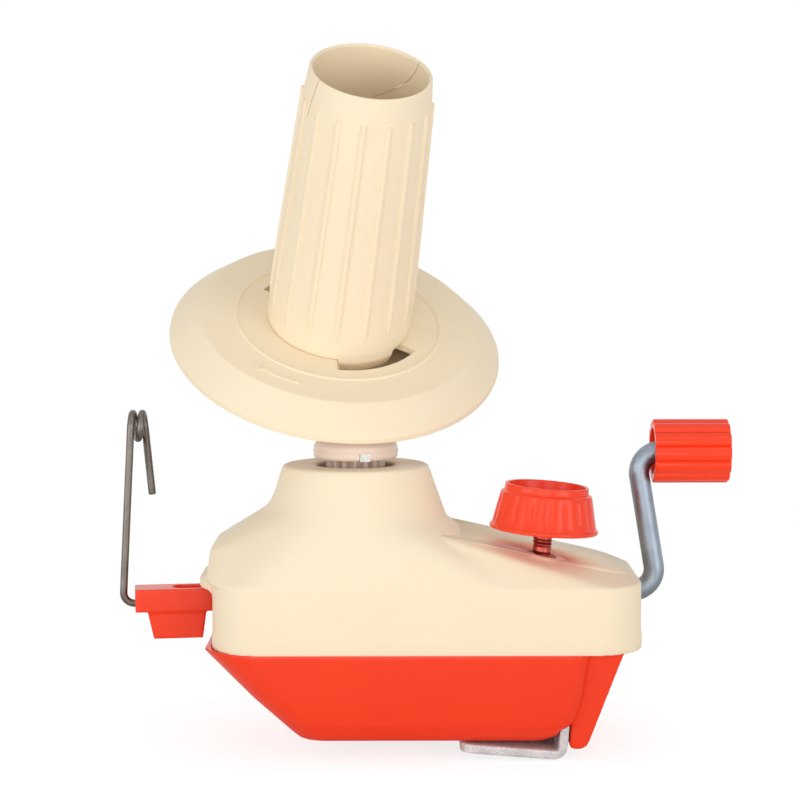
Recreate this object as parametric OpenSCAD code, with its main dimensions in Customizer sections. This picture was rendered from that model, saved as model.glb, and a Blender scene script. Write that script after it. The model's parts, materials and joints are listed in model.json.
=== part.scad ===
// Hand-cranked yarn ball winder for a table edge, as an assembly of named pieces.
// Frame: Z up, X toward the crank, -Y toward the viewer of the photograph.
// Origin: where the upright spindle axis meets the plane of the tub's underside.
// Millimetres and degrees throughout.

/* [Housing] */
// height of the joint between the red tub and the cream cover
split_z = 28.7; // [26:0.1:32]
// half depth of the cover's skirt
half_d = 34.5; // [30:0.5:40]
// left end of the cover
left_x = -44.6; // [-50:0.1:-41]
// right end of the cover
right_x = 89.6; // [84:0.1:94]
// wall thickness of the cover and the tub
wall = 2.2; // [1.6:0.1:3]
// height of the soft edge where the skirt meets the roof
skirt_z = 49.2; // [44:0.1:54]
// top of the conical neck
neck_z = 84.2; // [80:0.1:88]
// outer radius of the neck's top
neck_r = 23.2; // [21:0.1:26]
// radius of the hole in the neck
hole_r = 12.2; // [11:0.1:14]
// height of the sloped deck at x = 40
deck_z = 61.4; // [56:0.1:64]
// downward slope of the deck toward the crank
deck_slope = 12.6; // [8:0.1:16]

/* [Drive] */
// height of the crank axis
crank_z = 43; // [40:0.5:46]
// teeth of the sleeve pinion
pinion_n = 16; // [14:1:20]
// teeth of the crown gear on the crank
crown_n = 42; // [36:1:48]
// module of the crown and the pinion
drive_m = 1.05; // [0.9:0.01:1.2]
// length of the crank arm
crank_r = 45.2; // [38:0.1:50]
// lean of the crank arm toward the body
crank_lean = 9.5; // [0:0.5:12]
// x of the crank's lower bend
crank_x = 97.2; // [95:0.1:100]
// diameter of the crank rod
rod_d = 6.6; // [5:0.1:7]

/* [Spool] */
// tilt of the spool's axis from upright
tilt = 32; // [24:0.5:36]
// turn of the tilt away from the viewer's side
lean_az = 14; // [0:0.5:25]
// height of the sun gear's large end above the collar
sun_gap = 6.64; // [6:0.01:8]
// depth of the flange's cup under its plate
cup_d = 9.5; // [8:0.1:12]
// length of the core from the flange's flat top to its rim
core_len = 91.8; // [84:0.1:100]
// outer radius of the flange
flange_r = 55.2; // [50:0.1:58]
// radius of the flange's flat top
flat_r = 46.3; // [42:0.1:50]
// drop of the flange's conical edge
flange_drop = 7.9; // [6:0.1:10]
// radius of the core's rim
core_top_r = 19.5; // [17:0.1:22]
// radius of the core near the flange
core_base_r = 23.7; // [21:0.1:26]
// ribs round the core
rib_n = 16; // [12:1:20]
// teeth of the fixed sun gear
sun_n = 12; // [10:1:16]
// teeth of the spool's gear
planet_n = 47; // [40:1:52]
// distance from the crossing to the gears' large end
cone_len = 72; // [70:0.5:74]

/* [Clamp] */
// x of the clamp screw where it meets the deck
screw_x = 58.5; // [54:0.5:62]
// y of the clamp screw
screw_y = -17; // [-20:0.5:-12]
// lean of the screw, its knob and the bracket
clamp_lean = 4.4; // [0:0.1:5]
// diameter of the clamp screw
screw_d = 6; // [5:0.1:8]
// gap between the tub's underside and the clamp plate
clamp_gap = 1.5; // [1:0.1:8]
// height of the knob's underside above the deck
knob_lo = 7.9; // [7:0.1:10]
// distance from the screw's axis to the outside of the bracket's strap
strap_x = 12.1; // [11:0.1:14]
// thickness of the bracket's steel
strap_t = 2.8; // [2:0.1:3]

/* [Guide] */
// x of the guide arm's pivot
pivot_x = -38; // [-40:0.5:-34]
// turn of the guide arm toward the viewer
arm_turn = 8; // [0:1:15]
// diameter of the guide wire
wire_d = 2.4; // [2:0.1:3]

/* [Hidden] */
$fn = 64;
pin_pr = drive_m * pinion_n / 2;
crown_pr = drive_m * crown_n / 2;
planet_a = atan(sin(tilt) / (sun_n / planet_n + cos(tilt)));
sun_a = tilt - planet_a;
face_w = 6;
sun_r = cone_len * sin(sun_a);
planet_r = cone_len * sin(planet_a);
gear_lo = -cone_len * cos(planet_a);
gear_hi = -(cone_len - face_w) * cos(planet_a);
plate_t = 2.2;
cup_lo = gear_hi;
plate_lo = cup_lo + cup_d;
flange_h = -plate_lo - plate_t;
core_h = core_len - flange_h;
axle_d = 8;
fit = 0.05;
collar_lo = neck_z + 0.8;
collar_hi = collar_lo + 6.8;
sun_z = collar_hi + sun_gap;
cross_z = sun_z + cone_len * cos(sun_a);
sun_face = face_w - 0.5;
sun_top = sun_z + sun_face * cos(sun_a);
head_top = sun_z - 3.44;
hub_lo = gear_lo - 0.5;
hub_hi = -flange_h + 14.5;
thrust_hi = hub_lo - 0.2;
thrust_lo = thrust_hi - 1.4;
deck_s = tan(deck_slope);
screw_top = deck_z - (screw_x - 40) * deck_s;
seat_h = 0.4;
cream = [0.98, 0.91, 0.80];
red = [0.95, 0.24, 0.14];
steel = [0.70, 0.74, 0.78];
rose = [0.87, 0.75, 0.67];

// placement frames
module spool_frame() translate([0, 0, cross_z]) rotate([0, 0, lean_az]) rotate([tilt, 0, 0]) children();
module clamp_frame() translate([screw_x, screw_y, screw_top]) rotate([0, clamp_lean, 0]) children();
module guide_frame() translate([pivot_x, 0, 0]) rotate([0, 0, arm_turn]) children();
module crank_frame() translate([0, 0, crank_z]) children();

// small helpers
module ring(ro, ri, lo, hi) rotate_extrude() translate([ri, lo]) square([ro - ri, hi - lo]);
module rod(r, lo, hi) translate([0, 0, lo]) cylinder(r = r, h = hi - lo);
module along_x(x) translate([x, 0, 0]) rotate([0, 90, 0]) children();
module outline(x0, x1, hy, rl, rr) {
    translate([x0 + rl, -hy]) square([x1 - x0 - rl - rr, 2 * hy]);
    translate([x0, -hy + rl]) square([rl + 1, 2 * hy - 2 * rl]);
    translate([x1 - rr - 1, -hy + rr]) square([rr + 1, 2 * hy - 2 * rr]);
    for (s = [-1, 1]) {
        translate([x0 + rl, s * (hy - rl)]) circle(rl);
        translate([x1 - rr, s * (hy - rr)]) circle(rr);
    }
}
module slab(x0, x1, hy, rl, rr, z, t = 0.02) translate([0, 0, z]) linear_extrude(t) outline(x0, x1, hy, rl, rr);

// involute tooth outline: half angle of a tooth at radius r
function inv(a) = tan(a) * 180 / PI - a;
function tooth_a(n, m, r, b) = let (rb = m * n / 2 * cos(20), rr = max(r, rb))
    90 / n + inv(20) - inv(acos(min(1, rb / rr))) - b / 2 / r * 180 / PI;
function tooth_pts(n, m, b, add, ded) =
    [for (i = [0 : n - 1], k = [0 : 9])
        let (u = k < 5 ? k / 4 : (9 - k) / 4,
             r = m * n / 2 - ded * m + u * (add + ded) * m,
             a = i * 360 / n + (k < 5 ? -1 : 1) * tooth_a(n, m, r, b))
        [r * cos(a), r * sin(a)]];
module gear2d(n, m, b, add = 1, ded = 1.25) polygon(tooth_pts(n, m, b, add, ded));

// outer form of the cover, or its inside when inset by i
module cover_form(i) {
    hull() {
        slab(left_x - 2.1 + i, 48, half_d - i, 18 - i, 2, skirt_z - i / 2);
        slab(left_x - 0.9 + i, 0, 20 - i, 6, 2, 59.2 - i);
        rod(29.5 - i, 66 - i, 66.5 - i);
        translate([-2, 0, 0]) rod(27.6 - i, 69.8 - i, 70.3 - i);
    }
    hull() {
        slab(0, right_x - i, half_d - i, 2, 16 - i, skirt_z - i / 2);
        translate([40, 0, deck_z - i]) rotate([0, deck_slope, 0]) slab(-25, 47.6 - i, 22.5 - i, 4, 12, -0.02);
    }
    translate([0, 0, 66 - i]) cylinder(r1 = 29.6 - i, r2 = neck_r - i, h = neck_z - 66);
    slab(left_x + i, right_x - i, half_d - i, 16 - i, 16 - i, split_z - (i > 0 ? 1 : 0),
         skirt_z - split_z + (i > 0 ? 1 - i / 2 : 0) + 0.01);
}

module screw_spots() for (x = [-6, 38], s = [-1, 1]) translate([x, s * 20, 0]) children();

module upper_housing() color(cream) difference() {
    union() {
        difference() {
            union() {
                cover_form(0);
                slab(left_x - 0.3, right_x + 0.3, half_d + 0.3, 16.3, 16.3, split_z, 4.6);
                slab(left_x - 4.9, -20, 25, 17, 2, 46.2, 3.2);
            }
            cover_form(wall);
        }
        for (s = [-1, 1]) {
            translate([-6, s * 20, 0]) rod(4, 31.4, 71);
            translate([38, s * 20, 0]) rod(4, 31.4, 59.4);
        }
        translate([screw_x, screw_y, screw_top]) rotate([0, deck_slope, 0]) rod(6.8, -3, 0.5);
    }
    rod(hole_r, neck_z - 8, neck_z + 1);
    translate([left_x - 6, -14, split_z - 1]) cube([10, 28, 46.2 - split_z + 1]);
    crank_frame() along_x(right_x - 8) cylinder(r = 4.4, h = 10);
    clamp_frame() rod(screw_d / 2 + 1.4, -12, 6);
    screw_spots() rod(1.5, 30, 42);
}

module tub_form(i) hull() {
    slab(-47.4 + i, 73 - i, 33 - i, 14 - i, 5 - i, split_z - 0.02 + (i > 0 ? 0.1 : 0));
    slab(-32 + i, 70.8 - i, 32.2 - i, 13 - i, 5 - i, 13.2 + i / 3);
    slab(-23.8 + i, 68.6 - i, 31.4 - i, 12 - i, 5 - i, 6.2 + i / 2);
    slab(-20 + i, 65 - i, 29.4 - i, 10 - i, 5 - i, 2.6 + i * 0.7);
    slab(-17.4 + i, 60.5 - i, 27 - i, 8 - i, 5 - i, seat_h + i);
}

leg_r = 4;
leg_x = 69.2;
leg_y = 28;
module lower_housing() color(red) difference() {
    union() {
        difference() {
            union() {
                tub_form(0);
                hull() {
                    translate([leg_x, leg_y, leg_r - 2.2]) rotate([90, 0, 0]) cylinder(r = leg_r, h = 2 * leg_y);
                    translate([leg_x + 2.3, -leg_y, split_z - 0.3]) cube([12.2, 2 * leg_y, 0.2]);
                }
            }
            tub_form(wall);
        }
        difference() {
            slab(left_x + 2.5, right_x - 2.5, half_d - 2.5, 13.5, 13.5, split_z - 0.4, 2.9);
            slab(-30, 66, 28, 6, 6, split_z - 1, 5);
            translate([screw_x - 16, screw_y - 12.6, split_z - 1]) cube([24.2, 25.2, 5]);
        }
        slab(left_x + 3, -30, 25, 12, 2, split_z - 1.5, 2);
        slab(-13, 31, 15.5, 4, 4, 0, 1.2);
        rod(9, 0.5, 14);
        translate([23, -8, 1]) cube([6, 16, 50]);
        translate([75, -8, split_z]) cube([6, 16, 49.2 - split_z]);
        translate([pivot_x, 0, 0]) rod(5.5, split_z - 1, 35);
        screw_spots() rod(4.6, 0.5, 31.3);
    }
    rod(axle_d / 2, 3, 20);
    crank_frame() along_x(20) cylinder(r = 4.5, h = 70);
    translate([pivot_x, 0, 0]) rod(2, 29.4, 40);
    screw_spots() { rod(3.3, -1, 20); rod(1.7, 10, 40); }
    clamp_frame() translate([strap_x - strap_t - 0.5, -12.4, -80]) cube([strap_t + 1, 24.8, 75]);
}

module housing_screws() color(steel) screw_spots() difference() {
    union() { rod(2.9, 17.6, 20); rod(1.5, 19.9, 41); }
    for (a = [0, 90]) rotate(a) translate([-2, -0.35, 17]) cube([4, 0.7, 1.6]);
}

module spindle_axle() color(steel) {
    rod(axle_d / 2, 3.2, sun_z - 1.44);
    rod(6.6, 54.5, 57);
    difference() { rod(2.75, sun_z - 2, sun_top - 0.3); rod(1.25, sun_z - 0.4, sun_top); }
}

module sun_gear() color(rose) rotate([0, 0, lean_az + 90]) difference() {
    union() {
        rod(5.4, sun_z - 1.34, sun_z + 0.1);
        translate([0, 0, sun_z]) linear_extrude(height = sun_face * cos(sun_a), scale = 1 - sun_face / cone_len)
            gear2d(sun_n, 2 * sun_r / sun_n, 0.22, 0.85, 1.15);
    }
    rod(2.75, sun_z - 3, sun_top + 3);
}

module sun_screw() color(steel) difference() {
    union() { rod(3.6, sun_top + 0.02, sun_top + 1.4); rod(1.25, sun_z + 0.6, sun_top + 0.1); }
    for (a = [0, 90]) rotate(a) translate([-1.9, -0.35, sun_top + 0.6]) cube([3.8, 0.7, 2]);
}

module sleeve_washer() color(steel) ring(6.6, axle_d / 2 + 0.06, 57, 58);
module head_washer() color(steel) ring(7, axle_d / 2 + 0.06, head_top + 0.2, head_top + 1.7);
module crank_bushes() color(rose) for (x = [23, 75]) crank_frame() along_x(x) ring(4.5, rod_d / 2 + fit, 0, 6);

module pivot_rivet() color(steel) translate([pivot_x, 0, 0]) { rod(2, 29.5, 44.1); rod(4, 44, 45.4); }
module pivot_washer() color(steel) translate([pivot_x, 0, 0]) ring(6.2, 2.05, 35, 36);

// bent rod in the X-Z plane: straight runs with round bends of radius br
arm_top = crank_x - crank_r * tan(crank_lean);
bend_r = 7;
arm_len = crank_r / cos(crank_lean);
turn = 90 + crank_lean;
tang = bend_r * tan(turn / 2);
module crank_rod() color(steel) crank_frame() difference() {
    union() {
        along_x(8) cylinder(r = rod_d / 2, h = crank_x - tang - 8);
        translate([crank_x - tang, 0, bend_r]) rotate([90, 0, 0]) rotate([0, 0, -90])
            rotate_extrude(angle = turn) translate([bend_r, 0]) circle(rod_d / 2);
        translate([crank_x, 0, 0]) rotate([0, -crank_lean, 0]) {
            rod(rod_d / 2, tang + 0.02, arm_len - tang - 0.02);
            rod(rod_d / 2 - 0.3, tang - 1.5, arm_len - tang + 1.5);
        }
        translate([arm_top + tang, 0, crank_r - bend_r]) rotate([90, 0, 0]) rotate([0, 0, 90])
            rotate_extrude(angle = turn) translate([bend_r, 0]) circle(rod_d / 2);
        translate([0, 0, crank_r]) along_x(arm_top + tang) cylinder(r = rod_d / 2, h = grip_hi + 0.5 - arm_top - tang);
    }
    translate([18.4, 10, 0]) rotate([90, 0, 0]) cylinder(r = 1, h = 20);
}

crown_tip = 0.85;
crown_root = 1.35;
crown_half = 0.5;
module crown_gear() color(rose) crank_frame() rotate([0, -90, 0]) difference() {
    union() {
        ring(25, rod_d / 2, -15, -pin_pr - crown_root);
        rod(7, -21.6, -15);
        for (i = [0 : crown_n - 1]) rotate([0, 0, (i + 0.5) * 360 / crown_n]) translate([20.4, 0, -pin_pr])
            rotate([90, 0, 90]) linear_extrude(3.9) polygon([
                [-crown_half - crown_root * tan(20), -crown_root - 0.3], [-crown_half - crown_root * tan(20), -crown_root],
                [-crown_half + crown_tip * tan(20), crown_tip], [crown_half - crown_tip * tan(20), crown_tip],
                [crown_half + crown_root * tan(20), -crown_root], [crown_half + crown_root * tan(20), -crown_root - 0.3]]);
    }
    rod(rod_d / 2, -30, 0);
    translate([0, 10, -18.4]) rotate([90, 0, 0]) cylinder(r = 1, h = 20);
}
module crown_pin() color(steel) crank_frame() translate([18.4, 6.8, 0]) rotate([90, 0, 0]) cylinder(r = 1, h = 13.6);
module rod_clips() color(steel) for (x = [29.3, 73.6]) crank_frame() along_x(x) ring(5, rod_d / 2, 0, 1);

grip_lo = 95.1;
grip_hi = 119.2;
module crank_grip() color(red) translate([0, 0, crank_z + crank_r]) along_x(0) difference() {
    union() {
        rod(9.2, grip_lo, grip_hi);
        for (i = [0 : 11]) rotate([0, 0, i * 30]) translate([7.9, 0, 0]) rod(2.4, grip_lo + 0.6, grip_hi - 0.6);
    }
    rod(rod_d / 2 + fit, 90, 125);
    rod(7.4, grip_lo - 1, grip_lo + 7);
    rod(5.4, grip_hi - 1.6, grip_hi + 1);
}
module grip_cap() color(steel) translate([0, 0, crank_z + crank_r]) along_x(0)
    ring(4.8, rod_d / 2, grip_hi - 1.3, grip_hi + 0.2);

module rotor_frame() rotate([0, 0, lean_az]) children();
module key_block(g = 0) rotor_frame() translate([-1.6 - g, -13.55 - g, collar_lo + 1.2 - g]) cube([3.2 + 2 * g, 7.6 + g, 2.5 + g]);
module pinion_sleeve() color(rose) difference() {
    union() {
        rod(6.9, 58.2, 60.1);
        translate([0, 0, 60]) linear_extrude(collar_lo + 1.2 - 60) gear2d(pinion_n, drive_m, 0.1, 1, 1.2);
        rod(7, collar_lo + 1.1, head_top);
    }
    rod(axle_d / 2 + fit, 50, 100);
    key_block();
}
module turntable_head() color(rose) difference() {
    union() {
        rotate_extrude() polygon([[7, collar_lo + 1.2], [12.8, collar_lo + 1.2], [13.5, collar_lo + 2], [13.5, collar_lo + 3.2],
            [13.2, collar_lo + 3.4], [13.5, collar_lo + 3.6], [13.4, collar_lo + 5.4], [12.4, collar_hi], [9.5, collar_hi + 1.4],
            [7, collar_hi + 1.4]]);
        hull() {
            rotor_frame() translate([-9, 5, collar_lo + 1.4]) cube([18, 6, 4.6]);
            spool_frame() rod(9, -cone_len - 4.5, thrust_lo);
        }
    }
    rod(7, 80, 100);
    key_block();
    spool_frame() rod(axle_d / 2, -cone_len - 6, -60);
}
module head_key() color(steel) key_block();

module spool_axle() color(steel) spool_frame() difference() {
    rod(axle_d / 2, -cone_len - 4.5, hub_hi + 0.3);
    rod(2, hub_hi - 11.7, hub_hi + 1.3);
}
module spool_thrust() color(steel) spool_frame() ring(7.4, axle_d / 2 + 0.06, thrust_lo, thrust_hi);
module spool_screw() color(steel) spool_frame() difference() {
    union() { rod(7, hub_hi + 0.3, hub_hi + 1.5); rod(4.4, hub_hi + 1.4, hub_hi + 4.1); rod(2, hub_hi - 9.7, hub_hi + 1.3); }
    rotate(30) translate([-3, -0.4, hub_hi + 2.9]) cube([6, 0.8, 2]);
}

module sector(r, a0, a1) polygon(concat([[0, 0]], [for (k = [0 : 12]) let (a = a0 + (a1 - a0) * k / 12) [r * cos(a), r * sin(a)]]));
notch_a = -101.4;
notch_w = 62;
lug_w = 49;
cup_r = planet_r + 0.43;
notch_r = cup_r - 2.7;
module spool_flange() color(cream) spool_frame() difference() {
    union() {
        rotate_extrude() polygon([[20.8, plate_lo], [20.8, -flange_h], [33.4, -flange_h], [33.6, -flange_h + 0.5],
            [34.4, -flange_h + 0.5], [34.6, -flange_h], [flat_r, -flange_h],
            [flange_r - 0.6, -flange_h - flange_drop], [flange_r, -flange_h - flange_drop - 0.4],
            [flange_r, -flange_h - flange_drop - 1.8], [flange_r - 1.8, -flange_h - flange_drop - 1.8],
            [flat_r - 1.2, plate_lo], [cup_r, plate_lo], [cup_r, cup_lo + 4.9], [cup_r - 4.4, cup_lo],
            [axle_d / 2 + fit, cup_lo], [axle_d / 2 + fit, cup_lo + 2.4], [cup_r - 5.7, cup_lo + 2.4],
            [cup_r - 2.4, cup_lo + 6.1], [cup_r - 2.4, plate_lo]]);
        ring(8, axle_d / 2 + fit, hub_lo, hub_hi);
    }
    for (s = [0, 180]) rotate([0, 0, s]) {
        translate([0, 0, plate_lo - 0.1]) linear_extrude(plate_t + 1) sector(notch_r, notch_a, notch_a + notch_w);
        translate([0, 0, cup_lo + 6.2]) linear_extrude(plate_lo - cup_lo - 6.2) difference() {
            sector(cup_r + 1, notch_a + lug_w + 2, notch_a + notch_w);
            circle(cup_r - 3.5);
        }
    }
    for (s = [90, 210, 330]) rotate([0, 0, s]) translate([18, 0, 0]) rod(1.25, cup_lo - 1, cup_lo + 3);
}
module spool_gear() color(rose) spool_frame() difference() {
    translate([0, 0, gear_lo]) linear_extrude(height = face_w * cos(planet_a), scale = 1 - face_w / cone_len)
        rotate([0, 0, -90 + 180 / planet_n]) gear2d(planet_n, 2 * planet_r / planet_n, 0.22, 0.75, 1.1);
    rod(8.05, gear_lo - 1, gear_hi + 1);
    for (s = [90, 210, 330]) rotate([0, 0, s]) translate([18, 0, 0]) { rod(1.3, -80, -50); rod(2.8, -80, gear_lo + 2.2); }
}
module gear_screws() color(steel) spool_frame() for (s = [90, 210, 330]) rotate([0, 0, s]) translate([18, 0, 0]) {
    rod(2.6, gear_lo + 0.4, gear_lo + 2.2);
    rod(1.2, gear_lo + 2.1, cup_lo + 2.3);
}

core_lo = -flange_h + 0.15;
lug_lo = core_lo - 5.15;
lug_r = notch_r - 0.5;
slit_w = 0.8;
// yarn slits: middle angle, slant, middle depth, length
slits = [[62, 43, 8.5, 26], [212, -19, 5, 12]];
core_slope = (core_base_r - core_top_r) / (core_h + flange_h);
function core_r(z) = core_base_r - (z + flange_h) * core_slope;
module spool_core() color(cream) spool_frame() difference() {
    union() {
        rotate_extrude() polygon([[18.4, core_lo - 5.35], [20.5, core_lo - 5.35], [20.5, core_lo], [22.4, core_lo], [23.3, core_lo + 0.8],
            [core_base_r - 0.1, core_lo + 2.4], [core_r(core_lo + 18), core_lo + 18], [core_r(0), 0], [core_r(core_h - 9), core_h - 9],
            [core_top_r, core_h - 0.8], [core_top_r - 0.5, core_h], [core_top_r - 1.5, core_h],
            [core_top_r - 2, core_h - 0.6], [core_base_r - 2.4, core_lo + 7.6], [18.4, core_lo + 3.6]]);
        for (i = [0 : rib_n - 1]) rotate([0, 0, i * 360 / rib_n + 8]) translate([core_base_r - 1.6, -0.65, core_lo + 2.5])
            rotate([0, -atan(core_slope), 0]) cube([2.3, 1.3, core_h + flange_h - 11]);
        for (s = [0, 180]) rotate([0, 0, s]) {
            intersection() {
                rotate_extrude() polygon([[19, lug_lo], [lug_r, lug_lo], [lug_r, core_lo - 1.6], [core_base_r - 0.6, core_lo + 1.6],
                    [19, core_lo + 1.6]]);
                translate([0, 0, lug_lo - 1]) linear_extrude(20) sector(lug_r + 3, notch_a + 0.6, notch_a + lug_w);
            }
            translate([0, 0, lug_lo]) linear_extrude(plate_lo - 0.2 - lug_lo) difference() {
                sector(lug_r, notch_a - 11, notch_a + 2);
                circle(19);
            }
        }
    }
    for (c = slits) rotate([0, 0, c[0]]) translate([core_top_r - 1, 0, core_h - c[2]]) rotate([c[1], 0, 0])
        translate([-6, -slit_w / 2, -c[3] / 2]) cube([12, slit_w, c[3]]);
}

jaw_top = -(screw_top + clamp_gap + 0.3);
jaw_lo = jaw_top - strap_t;
tab_lo = -13;
bend_o = 4.4;
module bend_cut(x, z, sz) translate([x, z]) scale([1, sz]) difference() {
    translate([-0.01, -bend_o - 1]) square([bend_o + 1, bend_o + 1.01]);
    translate([0, 0]) circle(bend_o);
    translate([-1, -bend_o - 2]) square([1, bend_o + 3]);
}
module clamp_bracket() color(steel) clamp_frame() difference() {
    intersection() {
        rotate([90, 0, 0]) linear_extrude(24, center = true) difference() {
            translate([-21, jaw_lo]) square([21 + strap_x, tab_lo + strap_t - jaw_lo]);
            translate([-22, jaw_top]) square([22 + strap_x - strap_t, tab_lo - jaw_top]);
            translate([-22, jaw_top + 5]) square([14, tab_lo - jaw_top + 5]);
            bend_cut(strap_x - bend_o, jaw_lo + bend_o, 1);
            bend_cut(strap_x - bend_o, tab_lo + strap_t - bend_o, -1);
        }
        translate([0, 0, jaw_lo - 1]) linear_extrude(80) outline(-21, strap_x + 1, 12, 4, 0.5);
    }
    rod(4, -20, 0);
}
module clamp_nut() color(steel) clamp_frame() difference() {
    union() {
        translate([0, 0, tab_lo - 5]) cylinder(r = 5.8, h = 5, $fn = 6);
        rod(4, tab_lo - 0.1, tab_lo + strap_t - 0.2);
    }
    rod(screw_d / 2 + fit, -30, 0);
}
screw_lo = 4 - screw_top;
module clamp_screw() color(steel) clamp_frame() {
    rod(screw_d / 2 - 0.4, screw_lo, screw_lo + 1);
    rod(screw_d / 2, screw_lo + 0.9, knob_lo + 6);
}
module clamp_knob() color(red) clamp_frame() translate([0, 0, knob_lo]) difference() {
    rotate_extrude() polygon([[screw_d / 2, 0], [16.7, 0], [17.1, 0.4], [17.1, 1], [16.6, 1.4], [14.4, 11.5],
        [13.9, 12.1], [13.3, 12.2], [13.2, 12.5], [13.1, 14], [12.8, 14.3], [11.4, 14.3], [11.1, 13.9], [11.1, 8],
        [screw_d / 2, 8]]);
    for (i = [0 : 17]) rotate([0, 0, i * 20 + 10]) translate([17.1, 0, 1.5]) rotate([0, -12, 0]) cylinder(r = 1.5, h = 10.1);
    rod(screw_d / 2, -1, 6);
}
module clamp_clip() color(steel) clamp_frame() ring(5.6, screw_d / 2, -6.4, -5.4);

wire_z = 39.9;
coil_r = 4;
module guide_arm() color(red) guide_frame() difference() {
    union() {
        rod(6.5, 36.2, 43.7);
        translate([-33, -5.5, 37.7]) cube([27.8, 11, 7.3]);
        rotate([90, 0, 0]) translate([0, 0, -4.7]) linear_extrude(9.4)
            polygon([[-29.2, 37.9], [-10.4, 37.9], [-11.6, 29], [-27.2, 29]]);
    }
    rod(2 + fit, 30, 50);
    translate([-18, 0, 41.8]) { cylinder(r = 3, h = 4); translate([0, -3, 0]) cube([6.5, 6, 4]); translate([6.5, 0, 0]) cylinder(r = 3, h = 4); }
    translate([-40, 0, wire_z]) rotate([0, 90, 0]) cylinder(r = wire_d / 2 + 0.05, h = 16);
}

// guide wire: a round wire swept along a path, with a pigtail eye at its top
wire_pts = concat(
    [for (x = [-25, -29]) [x, 0, wire_z]],
    [for (a = [0 : 15 : 90]) [-33.1 - 3.5 * sin(a), 0, wire_z + 3.5 - 3.5 * cos(a)]],
    [for (k = [1 : 4]) [-36.6 + 2.8 * k / 4, 0, wire_z + 3.8 + 13.1 * k]],
    [for (f = [10 : 15 : 565]) [-33.8 + 3.05 * f / 360, coil_r - coil_r * cos(f), wire_z + 56.6 + coil_r * sin(f)]],
    [for (k = [1 : 3]) [-29 + 0.6 * k, 7.4 - 2.9 * k, wire_z + 54.6 - 6.4 * k]]);
function unit(v) = v / norm(v);
function tangent(p, i) = unit(p[min(i + 1, len(p) - 1)] - p[max(i - 1, 0)]);
function carry(p, i, n) = let (t = tangent(p, i), m = unit(n - (n * t) * t))
    i == len(p) - 1 ? [m] : concat([m], carry(p, i + 1, m));
module sweep(p, r, sides) {
    ns = carry(p, 0, [0, 1, 0]);
    vs = [for (i = [0 : len(p) - 1], k = [0 : sides - 1]) let (t = tangent(p, i), b = cross(t, ns[i]), a = k * 360 / sides)
        p[i] + r * (cos(a) * ns[i] + sin(a) * b)];
    last = (len(p) - 1) * sides;
    polyhedron(vs, concat([[for (k = [0 : sides - 1]) k]], [[for (k = [sides - 1 : -1 : 0]) last + k]],
        [for (i = [0 : len(p) - 2], k = [0 : sides - 1]) let (j = (k + 1) % sides)
            [i * sides + k, (i + 1) * sides + k, (i + 1) * sides + j, i * sides + j]]));
}
module guide_wire() color(steel) guide_frame() sweep(wire_pts, wire_d / 2, 14);

lower_housing();
upper_housing();
housing_screws();
spindle_axle();
sun_gear();
sun_screw();
sleeve_washer();
head_washer();
crank_bushes();
pivot_rivet();
pivot_washer();
crank_rod();
crown_gear();
crown_pin();
rod_clips();
crank_grip();
grip_cap();
pinion_sleeve();
turntable_head();
head_key();
spool_axle();
spool_thrust();
spool_screw();
spool_flange();
spool_gear();
gear_screws();
spool_core();
clamp_bracket();
clamp_nut();
clamp_screw();
clamp_knob();
clamp_clip();
guide_arm();
guide_wire();
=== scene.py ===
"""Looks of a hand-cranked yarn ball winder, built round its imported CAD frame.

Metres, Z up, the crank toward +X and the viewer of the photograph toward -Y.
"""
import json
import math

import bmesh
import bpy
from mathutils import Matrix, Vector


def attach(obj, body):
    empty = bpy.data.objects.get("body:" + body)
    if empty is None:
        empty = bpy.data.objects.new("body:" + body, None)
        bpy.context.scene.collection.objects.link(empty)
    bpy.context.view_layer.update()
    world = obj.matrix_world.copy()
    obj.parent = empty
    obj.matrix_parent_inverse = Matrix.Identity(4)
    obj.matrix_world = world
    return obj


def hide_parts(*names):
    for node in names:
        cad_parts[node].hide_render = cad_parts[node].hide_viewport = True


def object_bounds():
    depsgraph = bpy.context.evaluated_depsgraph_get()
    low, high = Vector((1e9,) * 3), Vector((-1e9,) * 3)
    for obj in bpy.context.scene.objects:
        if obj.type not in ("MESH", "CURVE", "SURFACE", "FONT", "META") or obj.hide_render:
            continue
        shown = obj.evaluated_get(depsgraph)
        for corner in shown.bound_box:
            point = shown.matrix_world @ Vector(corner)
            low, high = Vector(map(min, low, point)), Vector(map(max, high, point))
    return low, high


MM = 0.001
WELD = 1e-6
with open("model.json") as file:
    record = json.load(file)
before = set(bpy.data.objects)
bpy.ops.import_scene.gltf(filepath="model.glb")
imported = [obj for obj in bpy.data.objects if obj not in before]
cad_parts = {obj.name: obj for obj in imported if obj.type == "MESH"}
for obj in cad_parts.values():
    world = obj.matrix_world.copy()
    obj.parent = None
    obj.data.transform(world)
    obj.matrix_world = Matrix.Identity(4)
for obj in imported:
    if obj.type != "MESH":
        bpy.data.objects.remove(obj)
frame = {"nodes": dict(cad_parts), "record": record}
cad_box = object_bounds()
scene = bpy.context.scene
scene.view_settings.view_transform = "Standard"

# Camera: the photograph is taken as 800 by 800, with the lens that its perspective gives
PHOTO_SIDE = 800
SENSOR_MM = 36
VIEW_DISTANCE = 0.650
MM_PER_PIXEL = 0.32
VIEW_TARGET = Vector((0.01422, 0.0, 0.10468))
VIEW_ELEVATION = math.radians(4.57)
VIEW_ROLL = math.radians(0.08)


def srgb(code):
    """A hex colour as linear RGBA."""
    parts = [int(code[i : i + 2], 16) / 255 for i in (0, 2, 4)]
    return tuple(c / 12.92 if c <= 0.04045 else ((c + 0.055) / 1.055) ** 2.4 for c in parts) + (1.0,)


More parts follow.
